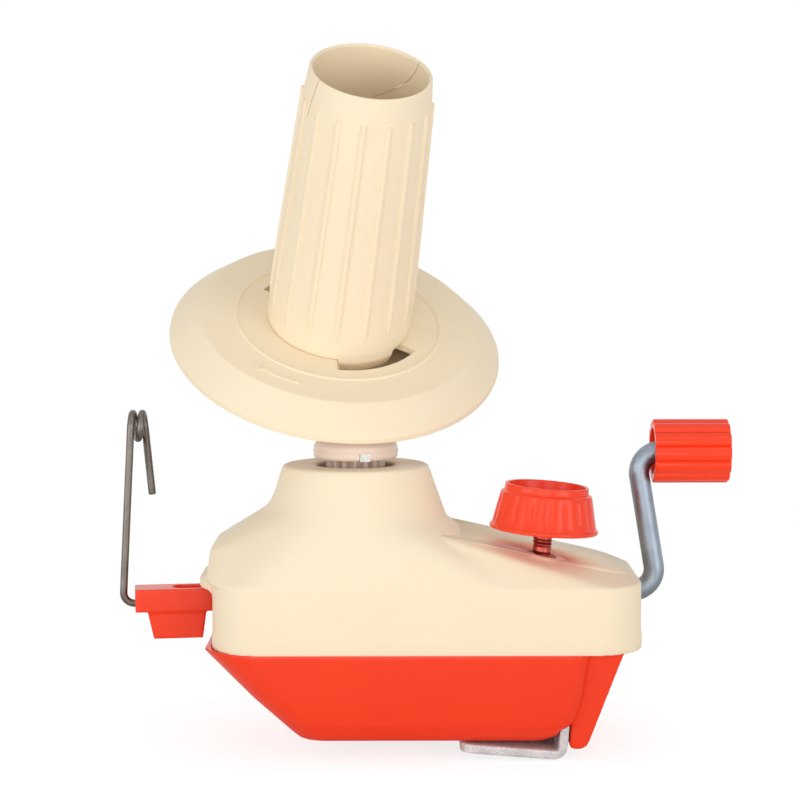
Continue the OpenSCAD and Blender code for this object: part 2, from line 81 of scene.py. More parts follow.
def add(tree, kind, settings=None, **links):
    """Adds a node with its settings; each link is a value or an output socket, keyed by the input's name."""
    node = tree.nodes.new(kind)
    for key, value in (settings or {}).items():
        setattr(node, key, value)
    for key, value in links.items():
        name = key.replace("_", " ")
        socket = node.inputs[int(key[1:])] if key[0] == "n" and key[1:].isdigit() else node.inputs[name]
        if isinstance(value, bpy.types.NodeSocket):
            tree.links.new(value, socket)
        else:
            socket.default_value = value
    return node


# Materials
FLOW_MM, GRAIN_DEEP_MM, PLASTIC_IOR = 45, 0.05, 1.53
GLOW_WEIGHT, GLOW_REACH = 0.04, (0.002, 0.0012, 0.0008)
CLOUD_MM, STREAK_DEEP_MM = 6, 0.04


def blank_material(name):
    """A material with an empty node tree."""
    mat = bpy.data.materials.new(name)
    mat.use_nodes = True
    mat.node_tree.nodes.clear()
    return mat, mat.node_tree


def two_tone(tree, first, second, share):
    """The colour between two hex colours, by a share from 0 to 1."""
    mix = add(tree, "ShaderNodeMix", {"data_type": "RGBA"})
    mix.inputs[6].default_value = srgb(first)
    mix.inputs[7].default_value = srgb(second)
    tree.links.new(share.outputs["Result"], mix.inputs[0])
    return mix.outputs[2]


def moulded_plastic(name, light, dark, roughness, grain_mm, bump, shine, mottle=0.5):
    """Injection-moulded plastic: an even colour with faint flow mottling and a very fine grain."""
    mat, tree = blank_material(name)
    coord = add(tree, "ShaderNodeTexCoord").outputs["Object"]
    flow = add(tree, "ShaderNodeTexNoise", Vector=coord, Scale=1 / (FLOW_MM * MM), Detail=3.0, Roughness=0.5)
    shift = add(tree, "ShaderNodeMapRange", Value=flow.outputs["Fac"], n1=0.35, n2=0.75, n3=0.0, n4=mottle)
    grain = add(tree, "ShaderNodeTexNoise", Vector=coord, Scale=1 / (grain_mm * MM), Detail=4.0,
                Roughness=0.6)
    rough = add(tree, "ShaderNodeMapRange", Value=grain.outputs["Fac"], n1=0.2, n2=0.8,
                n3=roughness - 0.04, n4=roughness + 0.05)
    skin = add(tree, "ShaderNodeBump", Height=grain.outputs["Fac"], Strength=bump,
               Distance=GRAIN_DEEP_MM * MM)
    shader = add(tree, "ShaderNodeBsdfPrincipled", Base_Color=two_tone(tree, light, dark, shift),
                 Roughness=rough.outputs["Result"], IOR=PLASTIC_IOR, Specular_IOR_Level=shine,
                 Normal=skin.outputs["Normal"], Subsurface_Weight=GLOW_WEIGHT, Subsurface_Radius=GLOW_REACH)
    add(tree, "ShaderNodeOutputMaterial", Surface=shader.outputs["BSDF"])
    return mat


def plated_steel(name, light, dark, roughness, streak_mm, stretch, bump, metal=1.0):
    """Steel clouded by its plating or coat, with fine streaks that the stretch draws out along an axis."""
    mat, tree = blank_material(name)
    coord = add(tree, "ShaderNodeTexCoord").outputs["Object"]
    cloud = add(tree, "ShaderNodeTexNoise", Vector=coord, Scale=1 / (CLOUD_MM * MM), Detail=4.0,
                Roughness=0.6)
    drawn = add(tree, "ShaderNodeMapping", Vector=coord, Scale=stretch)
    streak = add(tree, "ShaderNodeTexNoise", Vector=drawn.outputs["Vector"], Scale=1 / (streak_mm * MM),
                 Detail=3.0)
    both = add(tree, "ShaderNodeMath", {"operation": "MULTIPLY"}, n0=cloud.outputs["Fac"],
               n1=streak.outputs["Fac"])
    shift = add(tree, "ShaderNodeMapRange", Value=both.outputs["Value"], n1=0.12, n2=0.42, n3=0.0, n4=1.0)
    rough = add(tree, "ShaderNodeMapRange", Value=streak.outputs["Fac"], n1=0.3, n2=0.7,
                n3=roughness - 0.06, n4=roughness + 0.08)
    skin = add(tree, "ShaderNodeBump", Height=streak.outputs["Fac"], Strength=bump,
               Distance=STREAK_DEEP_MM * MM)
    shader = add(tree, "ShaderNodeBsdfPrincipled", Base_Color=two_tone(tree, dark, light, shift),
                 Roughness=rough.outputs["Result"], Metallic=metal, Normal=skin.outputs["Normal"])
    add(tree, "ShaderNodeOutputMaterial", Surface=shader.outputs["BSDF"])
    return mat


# Plastics: light and dark colour, roughness, grain in millimetres, bump and shine
CREAM = moulded_plastic("moulded_cream_abs", "FDECCF", "F8E5C5", 0.42, 0.6, 0.015, 0.12)
RED = moulded_plastic("moulded_red_abs", "FE4118", "F63512", 0.24, 0.6, 0.015, 0.32)
NYLON = moulded_plastic("moulded_nylon", "F3DFD1", "E6CEBE", 0.38, 0.4, 0.05, 0.4)
# Steels: light and dark colour, roughness, streak in millimetres, its stretch, bump and share of metal
ZINC = plated_steel("zinc_plated_steel", "A2ACB6", "86919D", 0.44, 0.35, (1.0, 1.0, 0.06), 0.12)
WIRE = plated_steel("drawn_wire_steel", "857E78", "69635E", 0.4, 0.3, (1.0, 1.0, 0.06), 0.12)
# The thread's red colours are a painted reflection of the red knob on plated steel, not the steel's own
# colour
THREAD_RED_REFLECTION = plated_steel("rolled_thread_steel_painted_red_reflection", "C4645A", "963C34", 0.36, 0.3, (1.0, 1.0, 1.0), 0.05)
SHEARED = plated_steel("sheared_plate_steel", "FBFBFA", "BCC2C6", 0.5, 0.5, (1.0, 1.0, 1.0), 0.6, 0.15)
FINISH = {"cream_plastic": CREAM, "red_plastic": RED, "nylon": NYLON, "steel": ZINC}
slot_of = {s["node"]: s["material_slot"] for s in frame["record"]["subparts"]}
body_of = {n: b for b, ns in frame["record"]["behaviour"]["bodies"].items() for n in ns}


def finish_piece(obj, node, mat):
    """A finished piece takes a CAD node's place, body and slot."""
    obj.data.materials.clear()
    obj.data.materials.append(mat)
    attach(obj, body_of[node])
    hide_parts(node)
    return obj


def mesh_object(name, bm, smooth=True):
    """A new object with the mesh that was built."""
    mesh = bpy.data.meshes.new(name)
    bm.to_mesh(mesh)
    bm.free()
    obj = bpy.data.objects.new(name, mesh)
    scene.collection.objects.link(obj)
    for p in mesh.polygons:
        p.use_smooth = smooth
    return obj


def baked(obj):
    """The object with its modifiers made a plain mesh."""
    shape = bpy.data.meshes.new_from_object(obj.evaluated_get(bpy.context.evaluated_depsgraph_get()))
    obj.modifiers.clear()
    obj.data = shape
    for p in shape.polygons:
        p.use_smooth = True
    return obj


def softened(node, name, voxel_mm, rounds, mat, melt=None, melt_rounds=0, crisp=None):
    """A moulded copy of a CAD node with eased edges.

    melt gives the share of a wider easing at a place in millimetres, and crisp is a mesh laid on top.
    """
    bm = bmesh.new()
    bm.from_mesh(frame["nodes"][node].data)
    bmesh.ops.remove_doubles(bm, verts=bm.verts, dist=WELD)
    obj = mesh_object(name, bm)
    remesh = obj.modifiers.new("skin", "REMESH")
    remesh.mode = "VOXEL"
    remesh.voxel_size = voxel_mm * MM
    ease = obj.modifiers.new("ease", "SMOOTH")
    ease.factor = 0.5
    ease.iterations = rounds
    baked(obj)
    if melt:
        share = obj.vertex_groups.new(name="melt")
        for v in obj.data.vertices:
            weight = melt(*(v.co / MM))
            if weight > 0.01:
                share.add([v.index], weight, "REPLACE")
        wide = obj.modifiers.new("wide_ease", "SMOOTH")
        wide.factor = 0.5
        wide.iterations = melt_rounds
        wide.vertex_group = share.name
        baked(obj)
    if crisp:
        obj = joined(obj, crisp)
    return finish_piece(obj, node, mat)


# Sizes of the pieces, in millimetres and degrees; the main forms keep to the part's source
CROSS_Z, TILT, LEAN_AZ = 170.0, 32.0, 14.0
FLANGE_H, FLANGE_R, FLAT_R, FLANGE_DROP, PLATE_LOW = 47.8, 55.2, 46.3, 7.9, -50.0
CUP_LOW, CUP_R, HUB_R, HUB_LOW, HUB_TOP, BORE_R = -59.49, 31.6, 8.0, -65.4, -33.3, 4.05
NOTCH_R, NOTCH_FROM, NOTCH_WIDE, LUG_WIDE, LUG_R, LUG_LOW = 28.9, -101.4, 62.0, 49.0, 28.4, -52.8
LUG_IN, HOOK_BEFORE, HOOK_PAST, SLEEVE_R, SLEEVE_BORE = 19.5, 11, 2, 20.5, 18.4
CORE_H, CORE_TOP_R, CORE_BASE_R, RIBS, RIB_PHASE = 44.0, 19.5, 23.7, 16, 8.0
BAND_H, RING_R, RING_PROUD, NECK_R = 9, 34.0, 0.5, 20.8
SEAM_IN, SEAM_OUT, SEAM_LOW, SEAM_HIGH = 12.8, 13.66, 88.6, 88.95
ARROW_R, ARROW_HALF, ARROW_HEAD, ARROW_TIP, ARROW_TAIL, ARROW_PHASE = 40.2, 0.55, 2.3, -7, 20, -138
SCREW_X, SCREW_Y, SCREW_TOP, CLAMP_LEAN = 58.5, -17.0, 57.265, 4.4
SCREW_R, SCREW_LOW, PITCH, KNOB_LOW, FLUTES = 3.0, -53.265, 1.0, 7.9, 18
ROOT_R, CREST_SINK, RIDGE_SHARE = 2.7, 0.42, 0.52
PIVOT_X, ARM_TURN, WIRE_R, COIL_R, WIRE_Z = -38.0, 8.0, 1.2, 4.0, 39.9
ELBOW_X, ELBOW_R, STEM_LOW, STEM_RISE, EYE_X, EYE_Z, EYE_PITCH = -33.1, 3.5, 3.8, 52.4, -33.8, 56.6, 3.05
WIRE_ROOT, TAIL_FROM, TAIL_STEP = (-25, -29), (-29, 7.4, 54.6), (0.6, -2.9, -6.4)
CRANK_Z, CRANK_R, GRIP_LOW, GRIP_HIGH, LOBES = 43.0, 45.2, 95.1, 119.2, 12
CRANK_X, CRANK_LEAN, BEND_R, ROD_R = 97.2, 9.5, 7.0, 3.3
KNOB_R, KNOB_TOP_R, KNOB_LIP, KNOB_SHOULDER, KNOB_H, KNOB_FLOOR = 17.1, 13.1, 1.5, 11.6, 14.3, 8
FLUTE_LOW, FLUTE_HIGH, FLUTE_DEEP, FLUTE_FADE = 1.55, 11.5, 0.5, 0.8
GRIP_R, GRIP_BORE, GRIP_HOLLOW, GRIP_RECESS, GROOVE_DEEP = 10.25, 3.4, 7.4, 5.4, 1.15
DECK_X, DECK_Z, DECK_SLOPE = 40.0, 61.4, 12.6
MELT_LEFT, MELT_LOW, MELT_HIGH, MELT_EDGE, NECK_RIGHT, DECK_CLEAR = -40, 50.5, 80.5, 3, 18, 2.5
DECK_RAISED, DECK_SUNK, DECK_ALONG, DECK_NEAR = 0.22, -0.5, 0.9995, 0.3
RIB_ROOT, RIB_STEPS, BEND_STEPS = 0.9, 32, 16
ROUND, FINE_ROUND = 96, 192

# Yarn slits: half the width, then the way down from the rim as angle in degrees and depth
SLIT_REACH = 4.0
SLITS = ((0.1, (19, -1.5), (26, 4.2), (33, 8.0), (42, 11.2), (51, 14.0), (60, 16.2), (70, 18.2)),
         (0.17, (202, -1.0), (194.5, 13.5)))


def turn(axis, degrees):
    """A rotation about an axis."""
    return Matrix.Rotation(math.radians(degrees), 4, axis)


IN_MM = Matrix.Scale(MM, 4)
SPOOL = IN_MM @ Matrix.Translation((0, 0, CROSS_Z)) @ turn("Z", LEAN_AZ) @ turn("X", TILT)
CLAMP = IN_MM @ Matrix.Translation((SCREW_X, SCREW_Y, SCREW_TOP)) @ turn("Y", CLAMP_LEAN)
GUIDE = IN_MM @ Matrix.Translation((PIVOT_X, 0, 0)) @ turn("Z", ARM_TURN)
GRIP = IN_MM @ Matrix.Translation((0, 0, CRANK_Z + CRANK_R)) @ turn("Y", 90)


def eased(corners, radius, steps=4):
    """A closed profile with each corner rounded; a corner is (r, z) or (r, z, its own radius)."""
    out = []
    for i, corner in enumerate(corners):
        here = Vector(corner[:2])
        before = Vector(corners[i - 1][:2]) - here
        after = Vector(corners[(i + 1) % len(corners)][:2]) - here
        wanted = corner[2] if len(corner) > 2 else radius
        angle = before.angle(after)
        reach = min(wanted / math.tan(angle / 2), 0.45 * before.length, 0.45 * after.length)
        if reach < 0.02 or angle > math.radians(176):
            out.append(here)
            continue
        a, b = here + before.normalized() * reach, here + after.normalized() * reach
        for k in range(steps + 1):
            t = k / steps
            out.append(a * (1 - t) ** 2 + here * 2 * t * (1 - t) + b * t * t)
    return out


def turned(name, profile, steps, place, shape=None, arc=None):
    """A closed profile turned round the local Z axis, whole or over an arc.

    shape changes a radius by height and angle.
    """
    bm = bmesh.new()
    first, last = (math.radians(a) for a in arc) if arc else (0.0, 2 * math.pi)
    rings = []
    for k in range(steps + 1 if arc else steps):
        a = first + (last - first) * k / steps
        radii = [shape(r, z, a) if shape else r for r, z in profile]
        rings.append([bm.verts.new(place @ Vector((r * math.cos(a), r * math.sin(a), z)))
                      for r, (_, z) in zip(radii, profile)])
    pairs = list(zip(rings, rings[1:])) + ([] if arc else [(rings[-1], rings[0])])
    for here, there in pairs:
        for i in range(len(profile)):
            j = (i + 1) % len(profile)
            bm.faces.new((here[i], there[i], there[j], here[j]))
    if arc:
        bm.faces.new(rings[0][::-1])
        bm.faces.new(rings[-1])
    bmesh.ops.recalc_face_normals(bm, faces=bm.faces)
    return mesh_object(name, bm)


def joined(first, *rest):
    """Several meshes as one piece."""
    bm = bmesh.new()
    for obj in (first, *rest):
        bm.from_mesh(obj.data)
    bm.to_mesh(first.data)
    bm.free()
    for obj in rest:
        bpy.data.objects.remove(obj)
    for p in first.data.polygons:
        p.use_smooth = True
    return first


def ring_sector(inner, outer, first, last, steps=16):
    """Outline of a piece of a ring, counter-clockwise."""
    angles = [math.radians(first + (last - first) * k / steps) for k in range(steps + 1)]
    return ([(outer * math.cos(a), outer * math.sin(a)) for a in angles]
            + [(inner * math.cos(a), inner * math.sin(a)) for a in reversed(angles)])


def prisms(outlines, low, high, place):
    """Upright prisms with these outlines, as one mesh."""
    bm = bmesh.new()
    for outline in outlines:
        base = [bm.verts.new(place @ Vector((x, y, low))) for x, y in outline]
        top = [bm.verts.new(place @ Vector((x, y, high))) for x, y in outline]
        bm.faces.new(base[::-1])
        bm.faces.new(top)
        for i in range(len(base)):
            j = (i + 1) % len(base)
            bm.faces.new((base[i], base[j], top[j], top[i]))
    bmesh.ops.recalc_face_normals(bm, faces=bm.faces)
    return bm


def cut(obj, outlines, low, high, place):
    """Takes upright prisms with these outlines out of a piece."""
    tool = mesh_object("tool", prisms(outlines, low, high, place))
    away = obj.modifiers.new("away", "BOOLEAN")
    away.operation = "DIFFERENCE"
    away.solver = "EXACT"
    away.object = tool
    baked(obj)
    bpy.data.objects.remove(tool)
    return obj


def by_angle(obj, degrees=32):
    """Smooth shading, with a crisp edge where two faces meet more sharply than this."""
    bm = bmesh.new()
    bm.from_mesh(obj.data)
    for e in bm.edges:
        e.smooth = len(e.link_faces) == 2 and e.calc_face_angle(0.0) < math.radians(degrees)
    bm.to_mesh(obj.data)
    bm.free()
    return obj


def node_group(name, inputs):
    """A Geometry Nodes tree with a geometry input and output and named number inputs."""
    tree = bpy.data.node_groups.new(name, "GeometryNodeTree")
    tree.interface.new_socket("Geometry", in_out="INPUT", socket_type="NodeSocketGeometry")
    tree.interface.new_socket("Geometry", in_out="OUTPUT", socket_type="NodeSocketGeometry")
    for label, kind in inputs.items():
        tree.interface.new_socket(label, in_out="INPUT", socket_type=kind)
    return tree, add(tree, "NodeGroupInput")


def end_group(tree, geometry, mat):
    """Ends a tree: the copies made real, in one material."""
    real = add(tree, "GeometryNodeRealizeInstances", Geometry=geometry)
    painted = add(tree, "GeometryNodeSetMaterial", Geometry=real.outputs["Geometry"], Material=mat)
    add(tree, "NodeGroupOutput", Geometry=painted.outputs["Geometry"])
    return tree


def grown(obj, tree, values):
    """Runs a tree on an object and makes the result a plain mesh."""
    mod = obj.modifiers.new(tree.name, "NODES")
    mod.node_group = tree
    for item in tree.interface.items_tree:
        if item.in_out == "INPUT" and item.name in values:
            mod[item.identifier] = values[item.name]
    return baked(obj)


def ring_tree(mat):
    """Repeats a shape round the local Z axis."""
    tree, given = node_group("repeat_round_axis", {"Count": "NodeSocketInt", "Phase": "NodeSocketFloat"})
    points = add(tree, "GeometryNodeMeshLine", Count=given.outputs["Count"], Offset=(0.0, 0.0, 0.0))
    step = add(tree, "ShaderNodeMath", {"operation": "DIVIDE"}, n0=2 * math.pi, n1=given.outputs["Count"])
    index = add(tree, "GeometryNodeInputIndex")
    angle = add(tree, "ShaderNodeMath", {"operation": "MULTIPLY_ADD"}, n0=index.outputs[0],
                n1=step.outputs[0], n2=given.outputs["Phase"])
    spin = add(tree, "ShaderNodeCombineXYZ", Z=angle.outputs[0])
    copies = add(tree, "GeometryNodeInstanceOnPoints", Points=points.outputs["Mesh"],
                 Instance=given.outputs["Geometry"], Rotation=spin.outputs["Vector"])
    return end_group(tree, copies.outputs["Instances"], mat)


def wire_tree(mat):
    """A round wire swept along a path of edges."""
    tree, given = node_group("wire_along_path", {"Radius": "NodeSocketFloat", "Sides": "NodeSocketInt"})
    path = add(tree, "GeometryNodeMeshToCurve", Mesh=given.outputs["Geometry"])
    circle = add(tree, "GeometryNodeCurvePrimitiveCircle", Resolution=given.outputs["Sides"],
                 Radius=given.outputs["Radius"])
    tube = add(tree, "GeometryNodeCurveToMesh", Curve=path.outputs["Curve"],
               Profile_Curve=circle.outputs["Curve"], Fill_Caps=True)
    return end_group(tree, tube.outputs["Mesh"], mat)


def swept(name, points, radius, sides, mat):
    """A round rod along a path of points."""
    bm = bmesh.new()
    chain = [bm.verts.new(p) for p in points]
    for a, b in zip(chain, chain[1:]):
        bm.edges.new((a, b))
    return grown(mesh_object(name, bm), wire_tree(mat), {"Radius": radius, "Sides": sides})


def thread_tree(mat):
    """A screw thread wound round the given shaft."""
    tree, given = node_group("thread_on_shaft", {"Radius": "NodeSocketFloat", "Pitch": "NodeSocketFloat",
                                                 "Turns": "NodeSocketFloat", "Start": "NodeSocketFloat"})
    radius, pitch = given.outputs["Radius"], given.outputs["Pitch"]
    height = add(tree, "ShaderNodeMath", {"operation": "MULTIPLY"}, n0=pitch, n1=given.outputs["Turns"])
    helix = add(tree, "GeometryNodeCurveSpiral", Resolution=28, Rotations=given.outputs["Turns"],
                Start_Radius=radius, End_Radius=radius, Height=height.outputs[0])
    lift = add(tree, "ShaderNodeCombineXYZ", Z=given.outputs["Start"])
    moved = add(tree, "GeometryNodeTransform", Geometry=helix.outputs["Curve"],
                Translation=lift.outputs["Vector"])
    size = add(tree, "ShaderNodeMath", {"operation": "MULTIPLY"}, n0=pitch, n1=RIDGE_SHARE)
    ridge = add(tree, "GeometryNodeCurvePrimitiveCircle", Resolution=4, Radius=size.outputs[0])
    wound = add(tree, "GeometryNodeCurveToMesh", Curve=moved.outputs["Geometry"],
                Profile_Curve=ridge.outputs["Curve"], Fill_Caps=True)
    whole = add(tree, "GeometryNodeJoinGeometry")
    tree.links.new(given.outputs["Geometry"], whole.inputs[0])
    tree.links.new(wound.outputs["Mesh"], whole.inputs[0])
    return end_group(tree, whole.outputs["Geometry"], mat)


def carried(obj, place):
    """Moves a finished mesh from its own frame, in millimetres, to its place."""
    obj.data.transform(place)
    obj.data.update()
    return obj


def core_radius(z):
    """Radius of the core's wall at a height, by its slight even taper."""
    return CORE_BASE_R - (z + FLANGE_H) * (CORE_BASE_R - CORE_TOP_R) / (CORE_H + FLANGE_H)


def core_wall():
    """Thin tapered tube with a fine lip, a rounded foot, two bayonet lugs and two slits for the yarn."""
    low, band = -FLANGE_H + 0.15, CORE_H - BAND_H
    outer = [(SLEEVE_R, LUG_LOW - 0.2), (SLEEVE_R, low, 0.1), (CORE_BASE_R - 0.25, low, 0.2),
             (CORE_BASE_R, low + 1.5, 1.0)]
    outer += [(core_radius(z), z) for z in (-20, 10)]
    outer += [(core_radius(band), band, 3.0), (CORE_TOP_R - 0.5, CORE_H - 0.5, 0.4),
              (CORE_TOP_R - 1.3, CORE_H, 0.3)]
    inner = [(CORE_TOP_R - 1.7, CORE_H - 1.0), (CORE_BASE_R - 2.4, low + 7.6, 2.0),
             (SLEEVE_BORE, low + 3.6), (SLEEVE_BORE, LUG_LOW - 0.2)]
    wall = turned("core_wall", eased(outer + inner, 0.3), FINE_ROUND, SPOOL)
    middle = CORE_TOP_R - 1
    for half, *way in SLITS:
        slit = [(-SLIT_REACH, -half), (SLIT_REACH, -half), (SLIT_REACH, half), (-SLIT_REACH, half)]
        for (a0, d0), (a1, d1) in zip(way, way[1:]):
            across, down = math.radians(a1 - a0) * middle, d1 - d0
            reach = math.hypot(across, down) / 2 + 0.1
            spot = SPOOL @ turn("Z", (a0 + a1) / 2) @ Matrix.Translation((middle, 0, CORE_H - (d0 + d1) / 2))
            cut(wall, [slit], -reach, reach, spot @ turn("X", math.degrees(math.atan2(across, down))))
    lug = eased([(LUG_IN, LUG_LOW), (CORE_BASE_R - 1.6, LUG_LOW, 0.6), (CORE_BASE_R + 0.01, low - 1.2, 3.0),
                 (core_radius(low + 3) + 0.01, low + 3), (LUG_IN, low + 3)], 0.3)
    hook = [(LUG_IN, LUG_LOW), (LUG_R, LUG_LOW), (LUG_R, PLATE_LOW - 0.2), (LUG_IN, PLATE_LOW - 0.2)]
    lugs = []
    for start in (NOTCH_FROM, NOTCH_FROM + 180):
        lugs.append(turned("lug", lug, 24, SPOOL, arc=(start + 0.4, start + LUG_WIDE)))
        lugs.append(turned("hook", hook, 8, SPOOL, arc=(start - HOOK_BEFORE, start + HOOK_PAST)))
    finish_piece(by_angle(joined(wall, *lugs)), "spool_core", CREAM)


def spool_dish():
    """Flat flange with a conical edge, a raised ring, a cup for the gear and two bayonet notches."""
    top, edge = -FLANGE_H, -FLANGE_H - FLANGE_DROP
    ring = [(RING_R - 0.7, top, 0.15), (RING_R - 0.4, top + RING_PROUD, 0.2),
            (RING_R + 0.4, top + RING_PROUD, 0.2), (RING_R + 0.7, top, 0.15)]
    rim = [(FLAT_R, top, 0.8), (FLANGE_R - 0.3, edge - 0.1, 0.7), (FLANGE_R, edge - 1.8, 0.3),
           (FLANGE_R - 1.8, edge - 1.8, 0.3), (FLAT_R - 1.2, PLATE_LOW)]
    cup = [(CUP_R, PLATE_LOW, 0.5), (CUP_R, CUP_LOW + 4.9), (CUP_R - 4.4, CUP_LOW)]
    hub = [(HUB_R, CUP_LOW), (HUB_R, HUB_LOW), (BORE_R, HUB_LOW), (BORE_R, HUB_TOP), (HUB_R, HUB_TOP)]
    hollow = [(HUB_R, CUP_LOW + 2.4, 0.8), (CUP_R - 5.7, CUP_LOW + 2.4), (CUP_R - 2.4, CUP_LOW + 6.1),
              (CUP_R - 2.4, PLATE_LOW)]
    profile = [(NECK_R, PLATE_LOW), (NECK_R, top)] + ring + rim + cup + hub + hollow
    dish = turned("spool_dish", eased(profile, 0.25), FINE_ROUND, SPOOL)
    notches, windows = [], []
    for start in (NOTCH_FROM, NOTCH_FROM + 180):
        end = start + NOTCH_WIDE
        notches.append(ring_sector(15.0, NOTCH_R, start, end))
        windows.append(ring_sector(CUP_R - 3.5, CUP_R + 1, start + LUG_WIDE + 2, end))
    cut(dish, notches, PLATE_LOW - 0.1, top + 1, SPOOL)
    cut(dish, windows, CUP_LOW + 6.2, PLATE_LOW, SPOOL)
    finish_piece(by_angle(dish), "spool_flange", CREAM)


def collar_seam():
    """The fine moulding seam round the collar."""
    profile = [(SEAM_IN, SEAM_LOW), (SEAM_OUT, SEAM_LOW), (SEAM_OUT, SEAM_HIGH), (SEAM_IN, SEAM_HIGH)]
    seam = turned("collar_seam", eased(profile, 0.08), ROUND, IN_MM)
    seam.data.materials.append(NYLON)
    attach(by_angle(seam), "rotor")


def lock_arrows():
    """Two plain raised arrows that show which way the core locks."""
    tip = math.radians(ARROW_TIP)
    shaft = ring_sector(ARROW_R - ARROW_HALF, ARROW_R + ARROW_HALF, -0.5, ARROW_TAIL, 10)
    head = [(ARROW_R * math.cos(tip), ARROW_R * math.sin(tip)), (ARROW_R + ARROW_HEAD, 0.0),
            (ARROW_R - ARROW_HEAD, 0.0)]
    arrow = prisms((shaft, head), -FLANGE_H - 0.3, -FLANGE_H + 0.45, Matrix.Identity(4))
    arrows = grown(mesh_object("lock_arrows", arrow), ring_tree(CREAM),
                   {"Count": 2, "Phase": math.radians(ARROW_PHASE)})
    carried(by_angle(arrows), SPOOL)
    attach(arrows, "spool")


def clamp_knob():
    """Tapered cap on the clamp screw, with shallow flutes, a thin lip at its foot and a hollow top."""
    lip = [(SCREW_R, 0), (KNOB_R - 0.3, 0, 0.5), (KNOB_R, 0.5, 0.4), (KNOB_R - 0.1, 1.1, 0.4),
           (KNOB_R - 0.7, KNOB_LIP, 0.3)]
    shoulder = [(KNOB_TOP_R + 1.2, KNOB_SHOULDER, 0.6), (KNOB_TOP_R + 0.3, KNOB_SHOULDER + 0.5, 0.3),
                (KNOB_TOP_R + 0.1, KNOB_SHOULDER + 0.9, 0.2)]
    rim = [(KNOB_TOP_R, KNOB_H, 0.4), (KNOB_TOP_R - 1.0, KNOB_H, 0.4), (KNOB_TOP_R - 1.5, KNOB_FLOOR),
           (SCREW_R, KNOB_FLOOR)]
    corners = eased(lip + shoulder + rim, 0.3)
    points = []
    for here, there in zip(corners, corners[1:] + corners[:1]):
        parts = 8 if (there - here).length > 6 and here.x > 13 else 1
        points += [here.lerp(there, k / parts) for k in range(parts)]

    def fluted(r, z, a):
        if r < KNOB_TOP_R + 0.5 or not FLUTE_LOW < z < FLUTE_HIGH:
            return r
        fade = min(1.0, (z - FLUTE_LOW) / FLUTE_FADE, (FLUTE_HIGH - z) / FLUTE_FADE)
        return r - FLUTE_DEEP * fade * (1 - abs(math.cos(FLUTES / 2 * a)) ** 0.6)

    knob = turned("knob_fluted", points, FLUTES * 12, CLAMP @ Matrix.Translation((0, 0, KNOB_LOW)), fluted)
    finish_piece(by_angle(knob, 40), "clamp_knob", RED)


def crank_grip():
    """Hollow hand grip with broad lobes and narrow grooves between them."""
    low, high = GRIP_LOW, GRIP_HIGH
    profile = [(GRIP_HOLLOW, low, 0.4), (GRIP_R, low, 0.7), (GRIP_R, high, 0.7), (GRIP_RECESS, high, 0.4),
               (GRIP_RECESS, high - 1.6), (GRIP_BORE, high - 1.6), (GRIP_BORE, low + 7),
               (GRIP_HOLLOW, low + 7)]

    def lobed(r, z, a):
        return r if r < 8.5 else r - GROOVE_DEEP * (1 - abs(math.cos(LOBES / 2 * a)) ** 0.5)

    grip = turned("grip_lobed", eased(profile, 0.3), LOBES * 14, GRIP, lobed)
    finish_piece(by_angle(grip, 40), "crank_grip", RED)


def core_ribs():
    """Low rounded ribs along the core, with square top ends, fading out above the foot."""
    low, high, half, proud = -FLANGE_H + 6.2, CORE_H - 8.5, 0.95, 0.8
    angles = [math.radians(a) for a in (0, 22, 45, 68, 90, 112, 135, 158, 180)]
    across = [(-half * math.cos(a), proud * math.sin(a) ** 0.7) for a in angles]
    across = [(-half, -RIB_ROOT), *across, (half, -RIB_ROOT)]
    bm = bmesh.new()
    rows = []
    for k in range(RIB_STEPS + 1):
        z = low + (high - low) * k / RIB_STEPS
        fade = math.sin(min(1.0, (k + 0.2) / 4) * math.pi / 2)
        rows.append([bm.verts.new((core_radius(z) + (h * fade if h > 0 else h), y, z)) for y, h in across])
    for a, b in zip(rows, rows[1:]):
        for i in range(len(across)):
            j = (i + 1) % len(across)
            bm.faces.new((a[i], a[j], b[j], b[i]))
    bm.faces.new(rows[0][::-1])
    bm.faces.new(rows[-1])
    bmesh.ops.recalc_face_normals(bm, faces=bm.faces)
    rib = mesh_object("core_ribs", bm)
    ribs = grown(rib, ring_tree(CREAM), {"Count": RIBS, "Phase": math.radians(RIB_PHASE)})
    carried(by_angle(ribs, 50), SPOOL)
    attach(ribs, "core")


def crank_rod():
    """Round rod bent twice: the crank's shaft, its leaning arm and the pin for the grip."""
    lean, turned_by = math.radians(CRANK_LEAN), math.radians(90 + CRANK_LEAN)
    reach = BEND_R * math.tan(turned_by / 2)
    top = CRANK_X - CRANK_R * math.tan(lean)
    points = [(8, 0)]
    for k in range(BEND_STEPS + 1):
        a = -math.pi / 2 + turned_by * k / BEND_STEPS
        points.append((CRANK_X - reach + BEND_R * math.cos(a), BEND_R + BEND_R * math.sin(a)))
    for k in range(BEND_STEPS + 1):
        a = math.pi + lean - turned_by * k / BEND_STEPS
        points.append((top + reach + BEND_R * math.cos(a), CRANK_R - BEND_R + BEND_R * math.sin(a)))
    points.append((GRIP_HIGH + 0.5, CRANK_R))
    rod = swept("crank_rod_bent", [(x, 0, CRANK_Z + z) for x, z in points], ROD_R, 40, ZINC)
    finish_piece(carried(by_angle(rod, 50), IN_MM), "crank_rod", ZINC)


